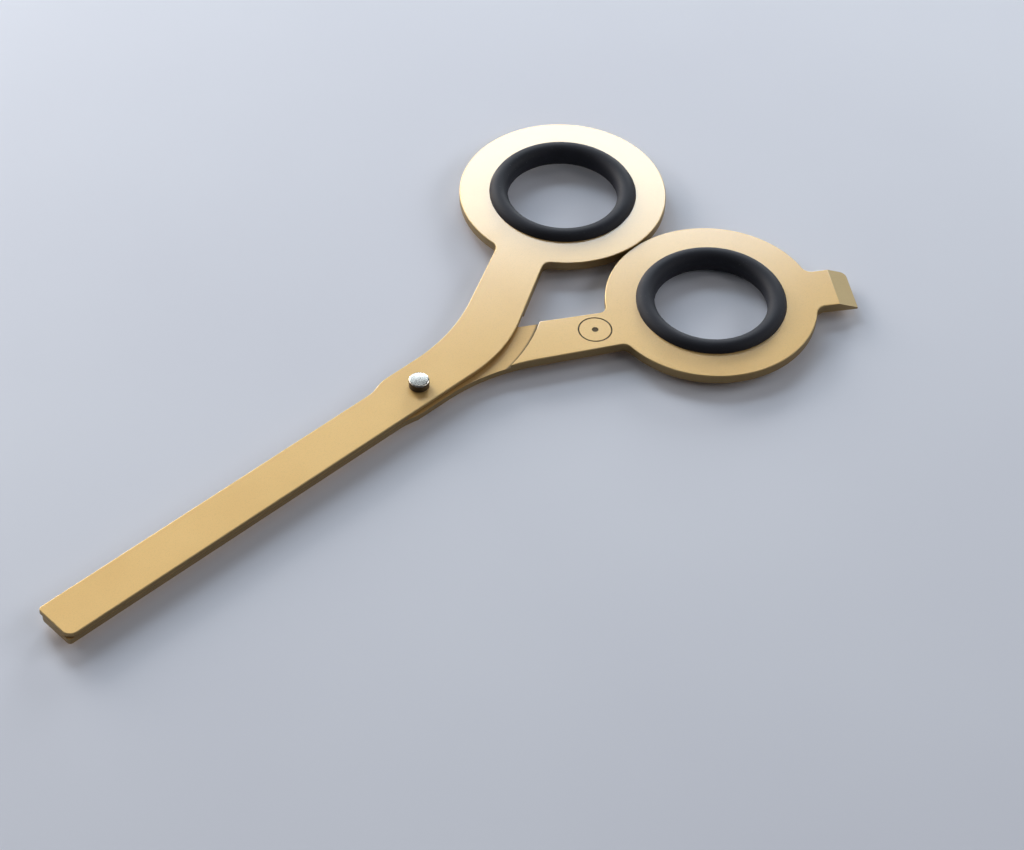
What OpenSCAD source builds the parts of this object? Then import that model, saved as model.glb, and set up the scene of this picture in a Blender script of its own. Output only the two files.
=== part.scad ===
// Flat scissors for trimming wicks: two half-lapped plates on one rivet, with a
// rubber grip in each finger ring and a small box opener on the lower ring.
// X runs from the pivot towards the finger rings, Z is the pivot axis, and
// z = 0 is the surface the closed scissors lie on. All sizes are millimetres.

/* [Plates] */
// Thickness of each plate at its handle and finger ring
plate_t = 2; // [1.6:0.1:2.6]
// Thickness of the lower plate under the upper one
lower_lap_t = 1.35; // [1.1:0.05:1.5]
// Thickness of the upper plate over the lower one
upper_lap_t = 0.95; // [0.8:0.05:1.3]
// Gap between the two blades
blade_gap = 0.1; // [0.05:0.01:0.2]

/* [Blades] */
// Distance from the pivot to the blade tips
blade_length = 88; // [60:1:110]
// Width of a blade
blade_w = 9; // [8:0.1:10]
// Corner radius at the tip, on the cutting side
tip_edge_r = 0.8; // [0.4:0.1:2]
// Corner radius at the tip, on the back
tip_back_r = 1.8; // [0.4:0.1:3]
// Distance from the pivot to the heel, where the cutting edge ends
heel_x = 9.2; // [8.5:0.1:12]
// Length of the ramp from the heel up to the shoulder
heel_ramp = 6; // [5:0.1:7]
// Shoulder of the upper plate, measured from the pivot line
shoulder_y = 5.65; // [5.4:0.05:6.2]
// How much lower the lower plate's shoulder is
lower_shoulder_drop = 0.55; // [0:0.05:0.7]

/* [Handles] */
// Distance from the pivot to the middle of a finger ring, along the blades
ring_x = 58.8; // [54:0.1:64]
// Outer radius of a finger ring
ring_r = 21; // [20:0.1:22]
// Space between the two closed finger rings
ring_gap = 0.06; // [0.02:0.01:0.4]
// Where the outer edge starts to bend
outer_bend_x = 4.1; // [3:0.1:6]
// Bend radius of the outer edge
outer_bend_r = 40; // [34:0.5:46]
// Slope of the outer edge
outer_slope = 28; // [26:0.5:30]
// Where the upper handle's inner edge starts to bend
inner_bend_x = 10.2; // [9:0.1:11]
// How much earlier the lower handle's inner edge bends, which makes it narrower
lower_bend_lead = 1.7; // [0:0.1:2]
// Bend radius of both inner edges
inner_bend_r = 32; // [28:0.5:36]
// Slope of both inner edges
inner_slope = 30; // [28:0.5:31]
// Fillet radius where a handle meets its ring
ring_fillet_r = 1.8; // [1:0.1:3]
// Distance from the other plate's edge to the step of the half lap
step_clearance = 3.8; // [2.5:0.1:4.5]

/* [Grips] */
// Radius of the finger hole inside the rubber
finger_hole_r = 11.25; // [10.5:0.05:12]
// Radial width of the rubber
grip_w = 3.75; // [3.2:0.05:4.4]
// Height that the rubber stands out of the plate on each side
grip_proud = 1.4; // [1:0.05:1.8]
// Radius of the hole that the rubber sits in
seat_r = 13.1; // [12.8:0.05:13.4]

/* [Pivot] */
// Radius of the rivet's two heads
head_r = 2; // [1.9:0.05:2.4]
// Height of the top head
head_h = 1.6; // [1.2:0.05:2]
// Chamfer on the heads
head_chamfer = 0.15; // [0.05:0.05:0.3]
// Radius of the post that the upper plate turns on
post_r = 1.4; // [1.2:0.05:1.5]
// Radius of the pin pressed into the post
pin_r = 0.8; // [0.6:0.05:0.9]
// Radial clearance of the upper plate on the post
running_clearance = 0.03; // [0.01:0.01:0.08]
// Radius of the washer between the plates
washer_r = 3.2; // [2.6:0.1:3.6]
// Depth of the washer's seat in each plate
washer_seat = 0.1; // [0.05:0.01:0.15]

/* [Opener] */
// Distance from the ring's middle to the end of the opener
opener_reach = 28.7; // [26:0.1:31]
// Width of the opener
opener_w = 9.9; // [6:0.1:11]
// Length of its sharpened slope
opener_bevel = 3.8; // [2:0.1:4.5]
// Thickness left at its end
opener_edge_t = 0.5; // [0.2:0.05:0.8]
// Direction of the opener, turned outward from the blades' line
opener_angle = 33; // [25:0.5:40]
// Corner radius of the opener, on the side towards the blades' line
opener_corner_r = 1.2; // [0.5:0.1:2]
// Fillet radius where the opener meets the ring
opener_fillet_r = 2; // [1:0.1:3]

/* [Mark] */
// Distance from the pivot to the engraved ring, along the blades
mark_x = 36; // [34:0.1:38]
// Distance from the blades' line to the engraved ring
mark_y = 11.5; // [11:0.1:12]
// Radius of the engraved ring
mark_r = 3.25; // [2:0.05:3.8]
// Width of the engraved line
mark_line = 0.3; // [0.2:0.05:0.5]
// Depth of the engraving
mark_depth = 0.08; // [0.05:0.01:0.15]

/* [Hidden] */
$fn = 96;

BRASS = [0.86, 0.73, 0.5];
STEEL = [0.8, 0.8, 0.82];
RUBBER = [0.08, 0.09, 0.12];
BRONZE = [0.7, 0.5, 0.3];

chord_turn = 3;                                  // degrees between an outline's points
play = 0.05;                                     // axial play under the top head
washer_slack = 0.02;                             // axial slack over the washer
washer_fit = 0.1;                                // room round the washer in its seats
pin_reach = 0.4;                                 // share of the top head the pin enters
dot_share = 0.2;                                 // engraved dot against its ring
cut = 1;                                         // how far a cutter runs past a face

lower_z = grip_proud;                            // underside of the lower plate
lap_z = lower_z + lower_lap_t;                   // top of the lower blade
upper_lap_z = lap_z + blade_gap;                 // underside of the upper blade
upper_top_z = upper_lap_z + upper_lap_t;
upper_z = upper_top_z - plate_t;                 // underside of the upper handle
lower_top_z = lower_z + plate_t;
ring_y = ring_r + ring_gap / 2;
ring_c = [ring_x, ring_y];
head_z = upper_top_z + play;                     // underside of the top head
washer_t = blade_gap + 2 * washer_seat - washer_slack;
half_w = blade_w / 2;
pin_top_z = head_z + head_h * pin_reach;

// Points on an arc round c, from angle a0 to angle a1, at least four chords long.
function arc(c, r, a0, a1) =
    let (n = max(4, ceil(abs(a1 - a0) / chord_turn)))
    [for (i = [0 : n]) let (a = a0 + (a1 - a0) * i / n) c + r * [cos(a), sin(a)]];

function angle_of(v) = atan2(v[1], v[0]);

// Middle of the fillet of radius f between the line through p at angle a and the
// outside of the circle (c, r). side is +1 or -1: the side of the line it lies on.
// ahead is -1 for the crossing met first along the line and +1 for the last one.
function fillet_c(p, a, side, c, r, f, ahead) =
    let (u = [cos(a), sin(a)],
         q = p + side * f * [-sin(a), cos(a)] - c,
         b = q * u,
         t = -b + ahead * sqrt(b * b - q * q + (r + f) * (r + f)))
    c + q + t * u;

// The handle's outer edge: the middle of its bend for a shoulder that is lower by
// drop, which leaves the straight part in place, where the upper plate's edge
// leaves the bend, and the middle of its fillet.
function outer_c(drop) =
    [outer_bend_x - drop / tan(outer_slope), shoulder_y - drop + outer_bend_r];
outer_end = outer_c(0) + outer_bend_r * [sin(outer_slope), -cos(outer_slope)];
outer_f = fillet_c(outer_end, outer_slope, 1, ring_c, ring_r, ring_fillet_r, -1);

// The inner edge of a plate whose bend starts at x = b.
lower_bend_x = inner_bend_x - lower_bend_lead;
function inner_c(b) = [b, inner_bend_r - half_w];
function inner_end(b) = inner_c(b) + inner_bend_r * [sin(inner_slope), -cos(inner_slope)];
function inner_f(b) =
    fillet_c(inner_end(b), inner_slope, -1, ring_c, ring_r, ring_fillet_r, -1);

// The ramp at the heel is two equal arcs that meet halfway up to the shoulder.
function ramp(drop) =
    let (rise = shoulder_y - drop - half_w,
         r = (heel_ramp * heel_ramp + rise * rise) / (4 * rise),
         turn = asin(heel_ramp / (2 * r)))
    concat(
        arc([-heel_x, half_w + r], r, -90, -90 + turn),
        arc([-heel_x + heel_ramp, shoulder_y - drop - r], r, 90 + turn, 90)
    );

// The fillets and end of the opener, in the ring's frame with the opener along +X.
opener_half = opener_w / 2;
opener_f = fillet_c([0, opener_half], 0, 1, [0, 0], ring_r, opener_fillet_r, 1);
opener_foot = angle_of(opener_f);
opener_end = concat(
    arc(opener_f, opener_fillet_r, opener_foot - 180, -90),
    [[opener_reach, opener_half]],
    arc([opener_reach - opener_corner_r, opener_corner_r - opener_half],
        opener_corner_r, 0, -90),
    arc([opener_f[0], -opener_f[1]], opener_fillet_r, 90, 180 - opener_foot)
);

// A point turned by angle a about the origin and moved to c.
function placed(p, a, c) = c + [p[0] * cos(a) - p[1] * sin(a), p[0] * sin(a) + p[1] * cos(a)];

// The round outside of a finger ring, from its outer fillet to its inner one.
ring_start = angle_of(outer_f - ring_c) + 360;
function ring_end(b) = angle_of(inner_f(b) - ring_c);
function plain_ring() = arc(ring_c, ring_r, ring_start, ring_end(inner_bend_x));
function opener_ring() = concat(
    arc(ring_c, ring_r, ring_start, opener_angle + opener_foot),
    [for (p = opener_end) placed(p, opener_angle, ring_c)],
    arc(ring_c, ring_r, opener_angle - opener_foot, ring_end(lower_bend_x))
);

// Outline of a plate round the given ring, with its finger ring on the +Y side and
// the seat for its rubber cut out. Its inner bend starts at x = b and its shoulder
// is lower by drop.
module plate_outline(ring, b, drop) {
    difference() {
        polygon(concat(
            arc([-blade_length + tip_edge_r, half_w - tip_edge_r], tip_edge_r, 180, 90),
            ramp(drop),
            arc(outer_c(drop), outer_bend_r, -90, -90 + outer_slope),
            arc(outer_f, ring_fillet_r, outer_slope - 90, ring_start - 180),
            ring,
            arc(inner_f(b), ring_fillet_r, ring_end(b) + 180, inner_slope + 90),
            arc(inner_c(b), inner_bend_r, -90 + inner_slope, -90),
            arc([-blade_length + tip_back_r, tip_back_r - half_w], tip_back_r, 270, 180)
        ));
        translate(ring_c) circle(r = seat_r);
    }
}

// The part of a plate that is thinned so that the other plate, whose inner bend
// starts at x = b, can cross it.
module lap_outline(b) {
    translate([-blade_length - cut, -ring_r])
        square([blade_length + cut + b, 2 * ring_r]);
    translate([b, half_w - inner_bend_r]) circle(r = inner_bend_r + step_clearance);
}

// The wedge taken off the top of the opener.
module opener_wedge() {
    fall = plate_t - opener_edge_t;
    rotate([90, 0, 0])
        linear_extrude(opener_w * 2, center = true)
            polygon([[opener_reach - opener_bevel, plate_t],
                     [opener_reach + opener_bevel, plate_t - 2 * fall],
                     [opener_reach + opener_bevel, plate_t + cut],
                     [opener_reach - opener_bevel, plate_t + cut]]);
}

// Bore and washer seat at the pivot, for a blade whose inner face is at face_z.
module pivot_cut(r, face_z) {
    translate([0, 0, -cut]) cylinder(r = r, h = upper_top_z + 2 * cut);
    translate([0, 0, face_z - washer_seat])
        cylinder(r = washer_r + washer_fit, h = 2 * washer_seat);
}

module mark() {
    difference() {
        cylinder(r = mark_r + mark_line / 2, h = mark_depth + cut);
        translate([0, 0, -cut]) cylinder(r = mark_r - mark_line / 2, h = mark_depth + 3 * cut);
    }
    cylinder(r = mark_r * dot_share, h = mark_depth + cut);
}

module lower_blade() {
    color(BRASS) difference() {
        mirror([0, 1, 0]) difference() {
            translate([0, 0, lower_z])
                linear_extrude(plate_t)
                    plate_outline(opener_ring(), lower_bend_x, lower_shoulder_drop);
            translate([ring_x, ring_y, lower_z]) rotate([0, 0, opener_angle]) opener_wedge();
            translate([0, 0, lap_z]) linear_extrude(plate_t) lap_outline(inner_bend_x);
        }
        pivot_cut(post_r, lap_z);
        translate([mark_x, -mark_y, lower_top_z - mark_depth]) mark();
    }
}

module upper_blade() {
    color(BRASS) difference() {
        translate([0, 0, upper_z])
            linear_extrude(plate_t) plate_outline(plain_ring(), inner_bend_x, 0);
        translate([0, 0, upper_lap_z - plate_t])
            linear_extrude(plate_t) lap_outline(lower_bend_x);
        pivot_cut(post_r + running_clearance, upper_lap_z);
    }
}

// Rubber ring with a groove that grips the plate, at rest round the Z axis.
module grip_ring() {
    r = grip_w / 2;
    rise = plate_t / 2 + grip_proud - r;
    color(RUBBER) rotate_extrude()
        translate([finger_hole_r + r, 0]) difference() {
            union() {
                translate([0, rise]) circle(r = r);
                translate([0, -rise]) circle(r = r);
                translate([-r, -rise]) square([grip_w, 2 * rise]);
            }
            translate([seat_r - finger_hole_r - r, -plate_t / 2])
                square([grip_w, plate_t]);
        }
}

module lower_grip_ring() {
    translate([ring_x, -ring_y, lower_z + plate_t / 2]) grip_ring();
}

module upper_grip_ring() {
    translate([ring_x, ring_y, upper_z + plate_t / 2]) grip_ring();
}

// Rivet head of height h with a chamfered rim, flat side down.
module rivet_head(h) {
    cylinder(r = head_r, h = h - head_chamfer);
    translate([0, 0, h - head_chamfer])
        cylinder(r1 = head_r, r2 = head_r - head_chamfer, h = head_chamfer);
}

module pivot_post() {
    color(STEEL) difference() {
        union() {
            translate([0, 0, head_z]) rivet_head(head_h);
            translate([0, 0, lower_z]) cylinder(r = post_r, h = head_z - lower_z);
        }
        translate([0, 0, lower_z - cut]) cylinder(r = pin_r, h = pin_top_z - lower_z + cut);
    }
}

module pivot_cap() {
    color(STEEL) {
        translate([0, 0, lower_z]) mirror([0, 0, 1]) rivet_head(lower_z);
        translate([0, 0, lower_z]) cylinder(r = pin_r, h = pin_top_z - lower_z);
    }
}

module pivot_washer() {
    color(BRONZE) translate([0, 0, lap_z - washer_seat]) difference() {
        cylinder(r = washer_r, h = washer_t);
        translate([0, 0, -cut]) cylinder(r = post_r + running_clearance, h = washer_t + 2 * cut);
    }
}

lower_blade();
upper_blade();
lower_grip_ring();
upper_grip_ring();
pivot_post();
pivot_cap();
pivot_washer();
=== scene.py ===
"""Looks for the flat scissors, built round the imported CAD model. Lengths are metres."""
import math

import bmesh
import bpy
from mathutils import Matrix, Vector


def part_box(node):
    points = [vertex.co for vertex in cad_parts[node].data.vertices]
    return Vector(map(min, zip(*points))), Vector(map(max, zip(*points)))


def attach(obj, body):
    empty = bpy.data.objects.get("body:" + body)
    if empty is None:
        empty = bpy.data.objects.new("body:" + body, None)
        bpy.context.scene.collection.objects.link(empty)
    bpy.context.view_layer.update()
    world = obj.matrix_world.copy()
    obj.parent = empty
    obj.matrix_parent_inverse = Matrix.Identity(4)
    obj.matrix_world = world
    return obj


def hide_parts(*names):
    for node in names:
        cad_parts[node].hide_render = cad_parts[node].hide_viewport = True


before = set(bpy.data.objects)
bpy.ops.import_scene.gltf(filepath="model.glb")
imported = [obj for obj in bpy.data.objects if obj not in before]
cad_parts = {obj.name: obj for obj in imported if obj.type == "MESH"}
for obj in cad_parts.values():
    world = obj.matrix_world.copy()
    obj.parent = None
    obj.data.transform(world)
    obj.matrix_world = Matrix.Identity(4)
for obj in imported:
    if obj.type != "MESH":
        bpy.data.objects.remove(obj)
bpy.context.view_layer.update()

MM = 0.001
UM = 1e-6
SEED_SHIFT = 7.3          # moves each material's noise so that no two repeat

# ---------------------------------------------------------------- places from the CAD
POST_LOW, POST_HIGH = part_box("pivot_post")
CAP_LOW, CAP_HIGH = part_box("pivot_cap")
WASHER_LOW, WASHER_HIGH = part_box("pivot_washer")
RING_LOW, RING_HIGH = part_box("upper_grip_ring")
HEAD_R = POST_HIGH.x
CAP_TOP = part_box("lower_blade")[0].z      # the plate's underside, where the rear cap stops
PLATES_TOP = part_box("upper_blade")[1].z
RING_X = (RING_LOW.x + RING_HIGH.x) / 2
RING_Y = (RING_LOW.y + RING_HIGH.y) / 2
SEAT_R = 13.1 * MM        # the hole the rubber sits in


# ---------------------------------------------------------------- mesh helpers
def new_object(name, bm):
    """A smooth-shaded object from bm, linked to the scene."""
    mesh = bpy.data.meshes.new(name)
    bmesh.ops.recalc_face_normals(bm, faces=bm.faces)
    for face in bm.faces:
        face.smooth = True
    bm.to_mesh(mesh)
    bm.free()
    obj = bpy.data.objects.new(name, mesh)
    bpy.context.scene.collection.objects.link(obj)
    return obj


def arc_points(centre, radius, start, end, steps):
    """Points (r, z) on an arc of a lathe profile, angles in degrees."""
    turns = [math.radians(start + (end - start) * i / steps) for i in range(steps + 1)]
    return [(centre[0] + radius * math.cos(t), centre[1] + radius * math.sin(t))
            for t in turns]


ON_AXIS = 1e-9            # a profile's point nearer than this to the axis is on it


def lathe(name, profile, centre, segments, closed=True):
    """A closed profile of (r, z) points turned round the Z axis through centre.

    A profile that is not closed starts and ends on the axis.
    """
    bm = bmesh.new()
    columns = []
    for i in range(segments):
        turn = 2 * math.pi * i / segments
        column = []
        for r, z in profile:
            if r < ON_AXIS:
                column.append(None)
                continue
            column.append(bm.verts.new((centre[0] + r * math.cos(turn),
                                        centre[1] + r * math.sin(turn), z)))
        columns.append(column)
    poles = {k: bm.verts.new((centre[0], centre[1], z))
             for k, (r, z) in enumerate(profile) if r < ON_AXIS}
    count = len(profile)
    spans = range(count if closed else count - 1)
    for i in range(segments):
        here, there = columns[i], columns[(i + 1) % segments]
        for k in spans:
            n = (k + 1) % count
            ring = [here[k] or poles[k], here[n] or poles[n],
                    there[n] or poles[n], there[k] or poles[k]]
            corners = list(dict.fromkeys(ring))
            if len(corners) > 2:
                bm.faces.new(corners)
    return new_object(name, bm)


# ---------------------------------------------------------------- node helpers
def material(name):
    """A new material and a function that adds nodes to it."""
    mat = bpy.data.materials.new(name)
    mat.use_nodes = True
    tree = mat.node_tree
    tree.nodes.clear()

    def add(kind, **sockets):
        """A new node. Each keyword sets one of its properties, or else one of its
        sockets, to a value or by a link."""
        node = tree.nodes.new(kind)
        for key, value in sockets.items():
            if hasattr(node, key) and not isinstance(value, bpy.types.NodeSocket):
                setattr(node, key, value)
                continue
            socket = node.inputs[key.replace("_", " ")]
            if isinstance(value, bpy.types.NodeSocket):
                tree.links.new(value, socket)
            else:
                socket.default_value = value
        return node

    return mat, add


def shader_out(add, shader):
    """Makes a shader the material's surface."""
    add("ShaderNodeOutputMaterial", Surface=shader.outputs["BSDF"])


def noise(add, scale, detail=2.0, stretch=(1, 1, 1), shift=0.0):
    """Noise in object space. scale is in features per metre."""
    place = add("ShaderNodeTexCoord")
    spread = add("ShaderNodeMapping", Vector=place.outputs["Object"],
                 Scale=stretch, Location=(shift, shift, shift))
    return add("ShaderNodeTexNoise", Vector=spread.outputs["Vector"],
               Scale=scale, Detail=detail).outputs["Fac"]


def remap(add, value, low, high, out_low, out_high):
    """A value's range from low to high, spread from out_low to out_high."""
    return add("ShaderNodeMapRange", Value=value, From_Min=low, From_Max=high,
               To_Min=out_low, To_Max=out_high).outputs["Result"]


def mixed(add, factor, first, second):
    """Blend of two colours, each a tuple or a socket."""
    node = add("ShaderNodeMix")
    node.data_type = "RGBA"
    tree = node.id_data
    for index, value in ((0, factor), (6, first), (7, second)):
        if isinstance(value, bpy.types.NodeSocket):
            tree.links.new(value, node.inputs[index])
        else:
            node.inputs[index].default_value = value
    return node.outputs[2]


def bumped(add, height, distance):
    """A normal for a relief as deep as distance."""
    return add("ShaderNodeBump", Height=height, Distance=distance,
               Strength=1.0).outputs["Normal"]


def joined(add, operation, first, second):
    """Two values joined by a math operation, such as ADD."""
    node = add("ShaderNodeMath", operation=operation)
    for socket, value in zip(node.inputs, (first, second)):
        node.id_data.links.new(value, socket)
    return node.outputs[0]


def times(colour, factors):
    """A colour with each part multiplied by a factor and held under 1, and full alpha."""
    return tuple(min(1, part * factor) for part, factor in zip(colour, factors)) + (1,)


# ---------------------------------------------------------------- materials
def step_corner_shade(add, middle, radius):
    """A mask for painted shade that is high just inside a milled step, an arc about middle,
    where the riser shades the lap floor, and is nothing on the blades' side of the pivot."""
    place = add("ShaderNodeTexCoord").outputs["Object"]
    reach = add("ShaderNodeVectorMath", operation="DISTANCE")
    links = reach.id_data.links
    flat = add("ShaderNodeVectorMath", operation="MULTIPLY")
    links.new(place, flat.inputs[0])
    flat.inputs[1].default_value = (1, 1, 0)
    links.new(flat.outputs["Vector"], reach.inputs[0])
    reach.inputs[1].default_value = middle
    near_step = remap(add, reach.outputs["Value"], radius - 0.75 * MM,
                      radius - 0.35 * MM, 0, 0.9)
    along = add("ShaderNodeSeparateXYZ", Vector=place).outputs["X"]
    past_pivot = remap(add, along, 3 * MM, 5 * MM, 0, 1)
    return joined(add, "MULTIPLY", near_step, past_pivot)


# Painted shade: the dark tone laid in the milled steps' inner corners.
STEP_SHADE = (0.10, 0.065, 0.03, 1)


def brass(name, tone, rough, shift, coat=1.0, corner=None):
    """Satin gold-coloured metal: cloudy tone, a fine blasted grain, faint rubbing and a
    clear lacquer of weight coat. corner is the middle and radius of a milled step, whose
    inner corner is darkened with painted shade."""
    mat, add = material(name)
    clouds = noise(add, 55, 3, shift=shift)
    rubbing = noise(add, 160, 4, stretch=(0.5, 1, 1), shift=shift)
    grain = noise(add, 5200, 2, shift=shift)
    base = mixed(add, remap(add, clouds, 0.3, 0.7, 0, 1),
                 times(tone, (0.97, 0.955, 0.93)), times(tone, (1.03, 1.04, 1.06)))
    base = mixed(add, remap(add, grain, 0.25, 0.5, 0.4, 0), base, times(tone, (0.7,) * 3))
    if corner:
        # painted shade in the step's inner corner
        base = mixed(add, step_corner_shade(add, *corner), base, STEP_SHADE)
    worn = joined(add, "ADD", remap(add, rubbing, 0.3, 0.7, rough - 0.012, rough + 0.012),
                  remap(add, grain, 0.2, 0.8, -0.03, 0.03))
    shader = add("ShaderNodeBsdfPrincipled", Metallic=1.0, Base_Color=base,
                 Roughness=worn, Normal=bumped(add, grain, 7 * UM), Coat_Weight=coat,
                 Coat_IOR=2.2, Coat_Roughness=0.14)
    shader_out(add, shader)
    return mat


def engraved():
    """Burnt brown inside the engraved line."""
    mat, add = material("engraved_brown")
    soot = noise(add, 2600, 3, shift=SEED_SHIFT)
    base = mixed(add, remap(add, soot, 0.3, 0.7, 0, 1), (0.07, 0.048, 0.026, 1),
                 (0.17, 0.12, 0.06, 1))
    shader = add("ShaderNodeBsdfPrincipled", Metallic=0.4, Base_Color=base,
                 Roughness=0.7, Normal=bumped(add, soot, 10 * UM))
    shader_out(add, shader)
    return mat


def rubber():
    """Blue-black silicone rubber: dull, with faint dust and a fine moulded skin."""
    mat, add = material("black_rubber")
    bloom = noise(add, 260, 3, shift=2 * SEED_SHIFT)
    skin = noise(add, 3800, 3, shift=SEED_SHIFT)
    dust = noise(add, 2300, 1, shift=3 * SEED_SHIFT)
    base = mixed(add, remap(add, bloom, 0.3, 0.7, 0, 1), (0.017, 0.018, 0.025, 1),
                 (0.024, 0.025, 0.034, 1))
    dusty = mixed(add, remap(add, dust, 0.70, 0.80, 0, 0.4), base, (0.10, 0.12, 0.12, 1))
    shader = add("ShaderNodeBsdfPrincipled", Base_Color=dusty,
                 Roughness=remap(add, bloom, 0.3, 0.7, 0.60, 0.70),
                 Specular_IOR_Level=0.3, Normal=bumped(add, skin, 6 * UM))
    shader_out(add, shader)
    return mat


def steel(name, tone, rough):
    """Steel with fine slanted scratches."""
    mat, add = material(name)
    place = add("ShaderNodeTexCoord")
    slant = add("ShaderNodeMapping", Vector=place.outputs["Object"],
                Rotation=(0, 0, math.radians(38)), Scale=(0.06, 1, 1))
    scratches = add("ShaderNodeTexNoise", Vector=slant.outputs["Vector"],
                    Scale=9000, Detail=3).outputs["Fac"]
    cloud = noise(add, 700, 2, shift=SEED_SHIFT)
    base = mixed(add, remap(add, scratches, 0.5, 0.75, 0, 0.5), tone + (1,),
                 times(tone, (0.5,) * 3))
    shader = add("ShaderNodeBsdfPrincipled", Metallic=1.0, Base_Color=base,
                 Roughness=remap(add, cloud, 0.3, 0.7, rough, rough + 0.1),
                 Normal=bumped(add, scratches, 1.5 * UM))
    shader_out(add, shader)
    return mat


PLATE = brass("satin_brass", (0.80, 0.55, 0.228), 0.66, SEED_SHIFT)
# The rounded edges take a smoother copy of the brass whose darker tone is painted shade that
# dims their highlight.
SHADED_EDGE_BRASS = brass("smooth_brass_edge_painted_shade", (0.55, 0.39, 0.18), 0.45, 2 * SEED_SHIFT,
                   coat=0.0)
# The plates' walls take a darker copy of the brass, which is painted shade.
SHADED_WALL_BRASS = brass("brass_wall_painted_shade", (0.36, 0.25, 0.11), 0.55, 3 * SEED_SHIFT, coat=0.2)
GROUND = brass("ground_brass", (0.56, 0.43, 0.23), 0.5, 5 * SEED_SHIFT, coat=0.0)
STEP_R = 35.8 * MM        # radius of the half lap's step in both plates
LOWER_STEP = (10.2 * MM, 27.5 * MM, 0)      # the middles of the two steps' arcs
UPPER_STEP = (8.5 * MM, -27.5 * MM, 0)
# The laps' floors take a slightly darker, redder tone than the plates' tops.
LAP = (0.71, 0.475, 0.205)
LOWER_LAP = brass("milled_lower_lap", LAP, 0.66, 6 * SEED_SHIFT, coat=0.35,
                  corner=(LOWER_STEP, STEP_R))
UPPER_LAP = brass("milled_upper_lap", LAP, 0.66, 7 * SEED_SHIFT, coat=0.35,
                  corner=(UPPER_STEP, STEP_R))
MARK = engraved()
RUBBER = rubber()
STEEL = steel("bright_steel", (0.70, 0.655, 0.58), 0.18)
STEEL_SIDE = steel("dark_steel_side", (0.13, 0.11, 0.09), 0.45)
WASHER = brass("bronze_washer", (0.55, 0.36, 0.19), 0.4, 4 * SEED_SHIFT)

# ---------------------------------------------------------------- the two plates
EDGE_ROUND = 0.16 * MM
FLUSH = 0.05 * MM         # how near a point is to a plate's top, its underside or the step
MARK_XY = Vector((36.0 * MM, -11.5 * MM))
MARK_REACH = 3.8 * MM
MARK_DEPTH = 0.2 * MM     # deeper than the engraving, so it takes in its floor
LAP_INSET = 0.3 * MM      # a lap's floor is at least this far inside the plate
SHARP = math.radians(15)
UPRIGHT = 0.3             # a face whose normal rises less than this is a wall
STEEP = 0.5               # under this it takes a wall's material
LEVEL = 0.98              # over this it is flat
FACE, EDGE, MARKED, WALL, SLOPE, LAP_FLOOR = range(6)      # the plates' material slots


def is_engraved(point, high):
    """Whether a point belongs to the engraved ring and dot."""
    near = (Vector((point.x, point.y)) - MARK_XY).length < MARK_REACH
    return near and point.z > high.z - MARK_DEPTH


def from_axis(point, middle):
    """A point's distance from the upright axis through middle."""
    return math.hypot(point.x - middle[0], point.y - middle[1])


def set_materials(bm, low, high, mark):
    """Gives each of a plate's faces its material slot."""
    for face in bm.faces:
        rise = abs(face.normal.z)
        height = face.calc_center_median().z
        if mark and all(is_engraved(vert.co, high) for vert in face.verts):
            face.material_index = MARKED if height < high.z - 10 * UM else FACE
        elif rise < STEEP:
            face.material_index = WALL
        elif rise < LEVEL:
            face.material_index = SLOPE
        elif low.z + LAP_INSET < height < high.z - LAP_INSET:
            face.material_index = LAP_FLOOR


def outer_rim(flats, high, side, step, mark):
    """The points of a plate's outline on its flat faces, without those at the rivet,
    under the rubber, at the engraving, on the step and on the opener's slope."""
    rim = set()
    for edge in {edge for face in flats for edge in face.edges}:
        walls = [face for face in edge.link_faces if abs(face.normal.z) < UPRIGHT]
        middle = (edge.verts[0].co + edge.verts[1].co) / 2
        in_hole = (from_axis(middle, (0, 0)) < 2 * HEAD_R
                   or from_axis(middle, (RING_X, side * RING_Y)) < SEAT_R + MM)
        if walls and not in_hole and not (mark and is_engraved(middle, high)):
            rim.update(edge.verts)
    at_step = {vert for vert in rim if abs(from_axis(vert.co, step) - STEP_R) < FLUSH}
    at_slope = {vert for vert in rim
                if any(face.material_index == SLOPE for face in vert.link_faces)}
    return rim - at_step - at_slope


def ease(bm, flats, rim, out):
    """Rounds a flat face's edge at the rim's points in two strips, the outer one steep
    and the inner one shallow. out is 1 for the face on top of a plate and -1 for the
    one under it."""
    for inset, drop in ((0.293, 1.0), (0.707, 0.293)):
        strips = bmesh.ops.inset_region(
            bm, faces=flats, thickness=inset * EDGE_ROUND, use_boundary=True,
            use_even_offset=True)["faces"]
        inside = {vert for face in flats for vert in face.verts}
        across = [edge for vert in rim for edge in vert.link_edges
                  if sum(end in inside for end in edge.verts) == 1]
        ends = {end for edge in across for end in edge.verts}
        for face in strips:
            if ends.issuperset(face.verts):
                face.material_index = EDGE
        for vert in ends - inside:
            vert.co.z -= out * drop * EDGE_ROUND
        rim = ends & inside


def keep_sharp_edges(bm):
    """Marks a plate's sharp edges, apart from the rounded ones."""
    bm.normal_update()
    for edge in bm.edges:
        eased = any(face.material_index == EDGE for face in edge.link_faces)
        if len(edge.link_faces) == 2 and not eased and edge.calc_face_angle() > SHARP:
            edge.smooth = False


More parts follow.
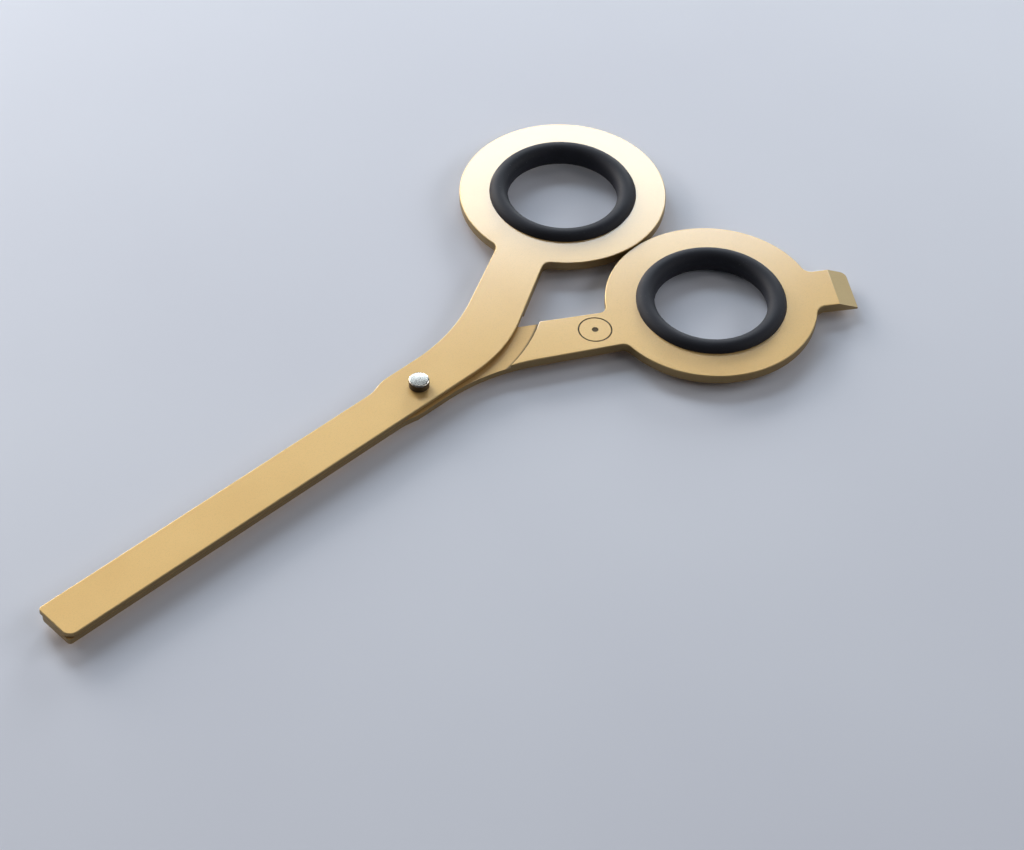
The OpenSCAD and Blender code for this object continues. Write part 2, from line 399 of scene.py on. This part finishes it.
def plate(name, node, body, side, lap, step, mark=False):
    """The CAD plate with its outer edges eased. side is the side of the X axis that its
    finger ring is on, 1 or -1."""
    bm = bmesh.new()
    bm.from_mesh(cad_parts[node].data)
    bmesh.ops.remove_doubles(bm, verts=bm.verts, dist=0.2 * UM)
    bmesh.ops.dissolve_limit(bm, angle_limit=math.radians(0.4), verts=bm.verts,
                             edges=bm.edges, use_dissolve_boundaries=False)
    bmesh.ops.recalc_face_normals(bm, faces=bm.faces)
    low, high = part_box(node)
    set_materials(bm, low, high, mark)
    for out, height in ((1, high.z), (-1, low.z)):
        flats = [face for face in bm.faces if face.normal.z * out > LEVEL
                 and abs(face.calc_center_median().z - height) < FLUSH]
        ease(bm, flats, outer_rim(flats, high, side, step, mark), out)
    keep_sharp_edges(bm)
    obj = new_object(name, bm)
    for mat in (PLATE, SHADED_EDGE_BRASS, MARK, SHADED_WALL_BRASS, GROUND, lap):
        obj.data.materials.append(mat)
    shading = obj.modifiers.new("flat_faces", "WEIGHTED_NORMAL")
    shading.keep_sharp = True
    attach(obj, body)
    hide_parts(node)


plate("lower_plate", "lower_blade", "lower_half", -1, LOWER_LAP, LOWER_STEP, mark=True)
plate("upper_plate", "upper_blade", "upper_half", 1, UPPER_LAP, UPPER_STEP)


# ---------------------------------------------------------------- rubber grips
LIP_R = 1.875 * MM        # radius of the lining's round lips
GROOVE_HALF = 1.0 * MM    # half the width of the groove that takes the plate
SEAM = 0.05 * MM          # half the width of the mould's parting line, in the hole


def grip(name, node, body):
    """The rubber lining: round lips over a groove that holds the plate."""
    low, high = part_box(node)
    centre = ((low.x + high.x) / 2, (low.y + high.y) / 2)
    middle = (low.z + high.z) / 2
    outer = (high.x - low.x) / 2
    inner = outer - 2 * LIP_R
    rise = (high.z - low.z) / 2 - LIP_R
    top = arc_points((inner + LIP_R, middle + rise), LIP_R, 0, 180, 28)
    bottom = arc_points((inner + LIP_R, middle - rise), LIP_R, 180, 360, 28)
    proud = inner - 0.4 * SEAM
    parting = [(inner, middle + 3 * SEAM), (proud, middle + SEAM),
               (proud, middle - SEAM), (inner, middle - 3 * SEAM)]
    groove = [(outer, middle - GROOVE_HALF), (SEAT_R, middle - GROOVE_HALF),
              (SEAT_R, middle + GROOVE_HALF), (outer, middle + GROOVE_HALF)]
    obj = lathe(name, top + parting + bottom + groove, centre, 180)
    obj.data.materials.append(RUBBER)
    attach(obj, body)
    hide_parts(node)


grip("lower_grip", "lower_grip_ring", "lower_half")
grip("upper_grip", "upper_grip_ring", "upper_half")


# ---------------------------------------------------------------- rivet and washer
RIM = 0.32 * MM           # radius of the rounded rim of the rivet's head and cap
POST_R = 1.4 * MM
PIN_R = 0.8 * MM
HEAD_Z = PLATES_TOP + 0.05 * MM
PIN_TOP = CAP_HIGH.z
WASHER_R = WASHER_HIGH.x
WASHER_HOLE_R = POST_R + 0.03 * MM


def rivet(name, node, profile):
    """A turned rivet part, bright on its flats and rounded rim, and darker and rougher on
    its side.
    """
    obj = lathe(name, profile, (0, 0), 96, closed=False)
    obj.data.materials.append(STEEL)
    obj.data.materials.append(STEEL_SIDE)
    for face in obj.data.polygons:
        if abs(face.normal.z) < UPRIGHT:
            face.material_index = 1
    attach(obj, "lower_half")
    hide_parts(node)


rivet("pivot_head", "pivot_post",
      [(0, POST_HIGH.z)]
      + arc_points((HEAD_R - RIM, POST_HIGH.z - RIM), RIM, 90, 0, 8)
      + [(HEAD_R, HEAD_Z), (POST_R, HEAD_Z), (POST_R, POST_LOW.z), (PIN_R, POST_LOW.z),
         (PIN_R, PIN_TOP), (0, PIN_TOP)])
rivet("pivot_rear_cap", "pivot_cap",
      [(0, CAP_LOW.z)]
      + arc_points((HEAD_R - RIM, CAP_LOW.z + RIM), RIM, 270, 360, 8)
      + [(HEAD_R, CAP_TOP), (PIN_R, CAP_TOP), (PIN_R, PIN_TOP), (0, PIN_TOP)])

washer = lathe("pivot_spacer",
               [(WASHER_HOLE_R, WASHER_LOW.z), (WASHER_R, WASHER_LOW.z),
                (WASHER_R, WASHER_HIGH.z), (WASHER_HOLE_R, WASHER_HIGH.z)], (0, 0), 96)
washer.data.materials.append(WASHER)
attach(washer, "lower_half")
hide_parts("pivot_washer")


# ---------------------------------------------------------------- floor
FLOOR_HALF = 3.0          # half the width of the floor


def pale_floor():
    """The pale table under the scissors, faintly cloudy and grained."""
    mat, add = material("pale_table")
    cloud = noise(add, 9, 3)
    grain = noise(add, 900, 3, shift=SEED_SHIFT)
    base = mixed(add, remap(add, cloud, 0.3, 0.7, 0, 1), (0.71, 0.72, 0.79, 1),
                 (0.75, 0.765, 0.83, 1))
    shader = add("ShaderNodeBsdfPrincipled", Base_Color=base, Roughness=0.55,
                 Normal=bumped(add, grain, 8 * UM))
    shader_out(add, shader)
    bm = bmesh.new()
    bmesh.ops.create_grid(bm, x_segments=4, y_segments=4, size=FLOOR_HALF)
    floor = new_object("table", bm)
    floor.data.materials.append(mat)


pale_floor()

# ---------------------------------------------------------------- camera
ELEVATION = math.radians(46.35)
AZIMUTH = math.radians(45.20)     # from +Y towards +X
ROLL = math.radians(-2.25)
DISTANCE = 606 * MM
AIM = Vector((8.53 * MM, -16.98 * MM, 0))     # the point in the picture's middle
SENSOR = 36                       # mm
LENS = 111.7                      # mm

away = Vector((math.sin(AZIMUTH), math.cos(AZIMUTH), 0))
across = Vector((math.cos(AZIMUTH), -math.sin(AZIMUTH), 0))
forward = away * math.cos(ELEVATION) - Vector((0, 0, math.sin(ELEVATION)))
level_up = away * math.sin(ELEVATION) + Vector((0, 0, math.cos(ELEVATION)))
right = across * math.cos(ROLL) - level_up * math.sin(ROLL)
up = across * math.sin(ROLL) + level_up * math.cos(ROLL)

camera_data = bpy.data.cameras.new("camera")
camera_data.lens = LENS
camera_data.sensor_width = SENSOR
camera_data.clip_start = 0.01
camera = bpy.data.objects.new("camera", camera_data)
bpy.context.scene.collection.objects.link(camera)
turned = Matrix((right, up, -forward)).transposed().to_4x4()
camera.matrix_world = Matrix.Translation(AIM - forward * DISTANCE) @ turned
bpy.context.scene.camera = camera


# ---------------------------------------------------------------- light
def softbox(name, bearing, elevation, distance, size, watts, colour):
    """An area light that faces the scissors. bearing is from the view's far side,
    positive to the right."""
    data = bpy.data.lights.new(name, "AREA")
    data.shape = "RECTANGLE"
    data.size, data.size_y = size
    data.energy = watts
    data.color = colour
    lamp = bpy.data.objects.new(name, data)
    bpy.context.scene.collection.objects.link(lamp)
    turn, lift = math.radians(bearing), math.radians(elevation)
    side = away * math.cos(turn) + across * math.sin(turn)
    towards = side * math.cos(lift) + Vector((0, 0, math.sin(lift)))
    lamp.location = AIM + towards * distance
    lamp.rotation_euler = towards.to_track_quat("Z", "Y").to_euler()


LIGHTS = (
    # name, bearing and elevation in degrees, distance, size, watts, colour
    ("left_window", -43, 13, 0.8, (0.40, 0.25), 3.82, (1.00, 0.93, 0.86)),
    ("back_window", 13, 12, 1.2, (0.40, 0.25), 5.05, (0.87, 0.93, 0.97)),
    ("far_left", -70, 24, 1.2, (0.50, 0.40), 1.92, (0.98, 0.99, 1.00)),
    ("left_back", -30, 22, 1.2, (0.40, 0.30), 3.27, (0.83, 0.92, 1.00)),
    ("upper_left", -28, 35, 1.2, (0.30, 0.24), 1.87, (0.74, 0.87, 1.00)),
    ("upper_back", -6, 37, 1.2, (0.55, 0.20), 1.76, (0.74, 0.87, 1.00)),
    ("near_right", 105, 34, 1.2, (0.50, 0.40), 1.45, (1.00, 0.98, 0.95)),
    ("right_side", 66, 24, 1.2, (0.50, 0.40), 3.10, (0.90, 0.94, 1.00)),
    ("overhead", 0, 74, 1.2, (0.60, 0.35), 0.60, (1.00, 0.97, 0.92)),
    ("left_card", -95, 36, 1.2, (0.40, 0.30), 0.70, (1.00, 0.93, 0.86)),
)
for light in LIGHTS:
    softbox(*light)

world = bpy.data.worlds.new("studio")
world.use_nodes = True
sky = world.node_tree.nodes["Background"]
sky.inputs["Color"].default_value = (0.80, 0.88, 1.0, 1)
sky.inputs["Strength"].default_value = 0.075
bpy.context.scene.world = world
bpy.context.scene.view_settings.view_transform = "Standard"
